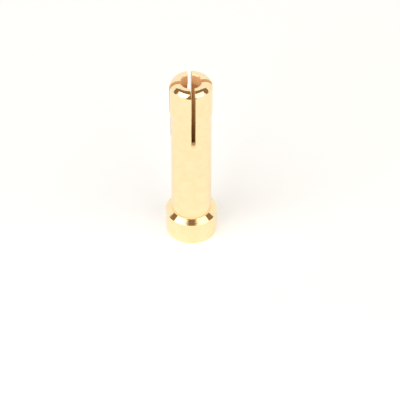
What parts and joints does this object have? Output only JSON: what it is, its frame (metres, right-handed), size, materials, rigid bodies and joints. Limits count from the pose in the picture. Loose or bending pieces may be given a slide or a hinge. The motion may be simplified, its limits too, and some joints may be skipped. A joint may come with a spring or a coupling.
{
  "type": "bullet connector",
  "caption": "Gold-plated tubular battery lead connector: slotted spring plug head, plain shank and a shouldered collar with an open socket.",
  "frame": {"origin": "centre of the collar's open face, which is the plane the part stands on", "axes": "+Z along the axis, from the socket's mouth towards the slotted tip"},
  "size_m": [0.0062, 0.0062, 0.0232],
  "materials": {
    "gold_plate": "polished gold plating over turned brass"
  },
  "bodies": {
    "root": {"connector_body": "gold_plate"}
  },
  "joints": []
}
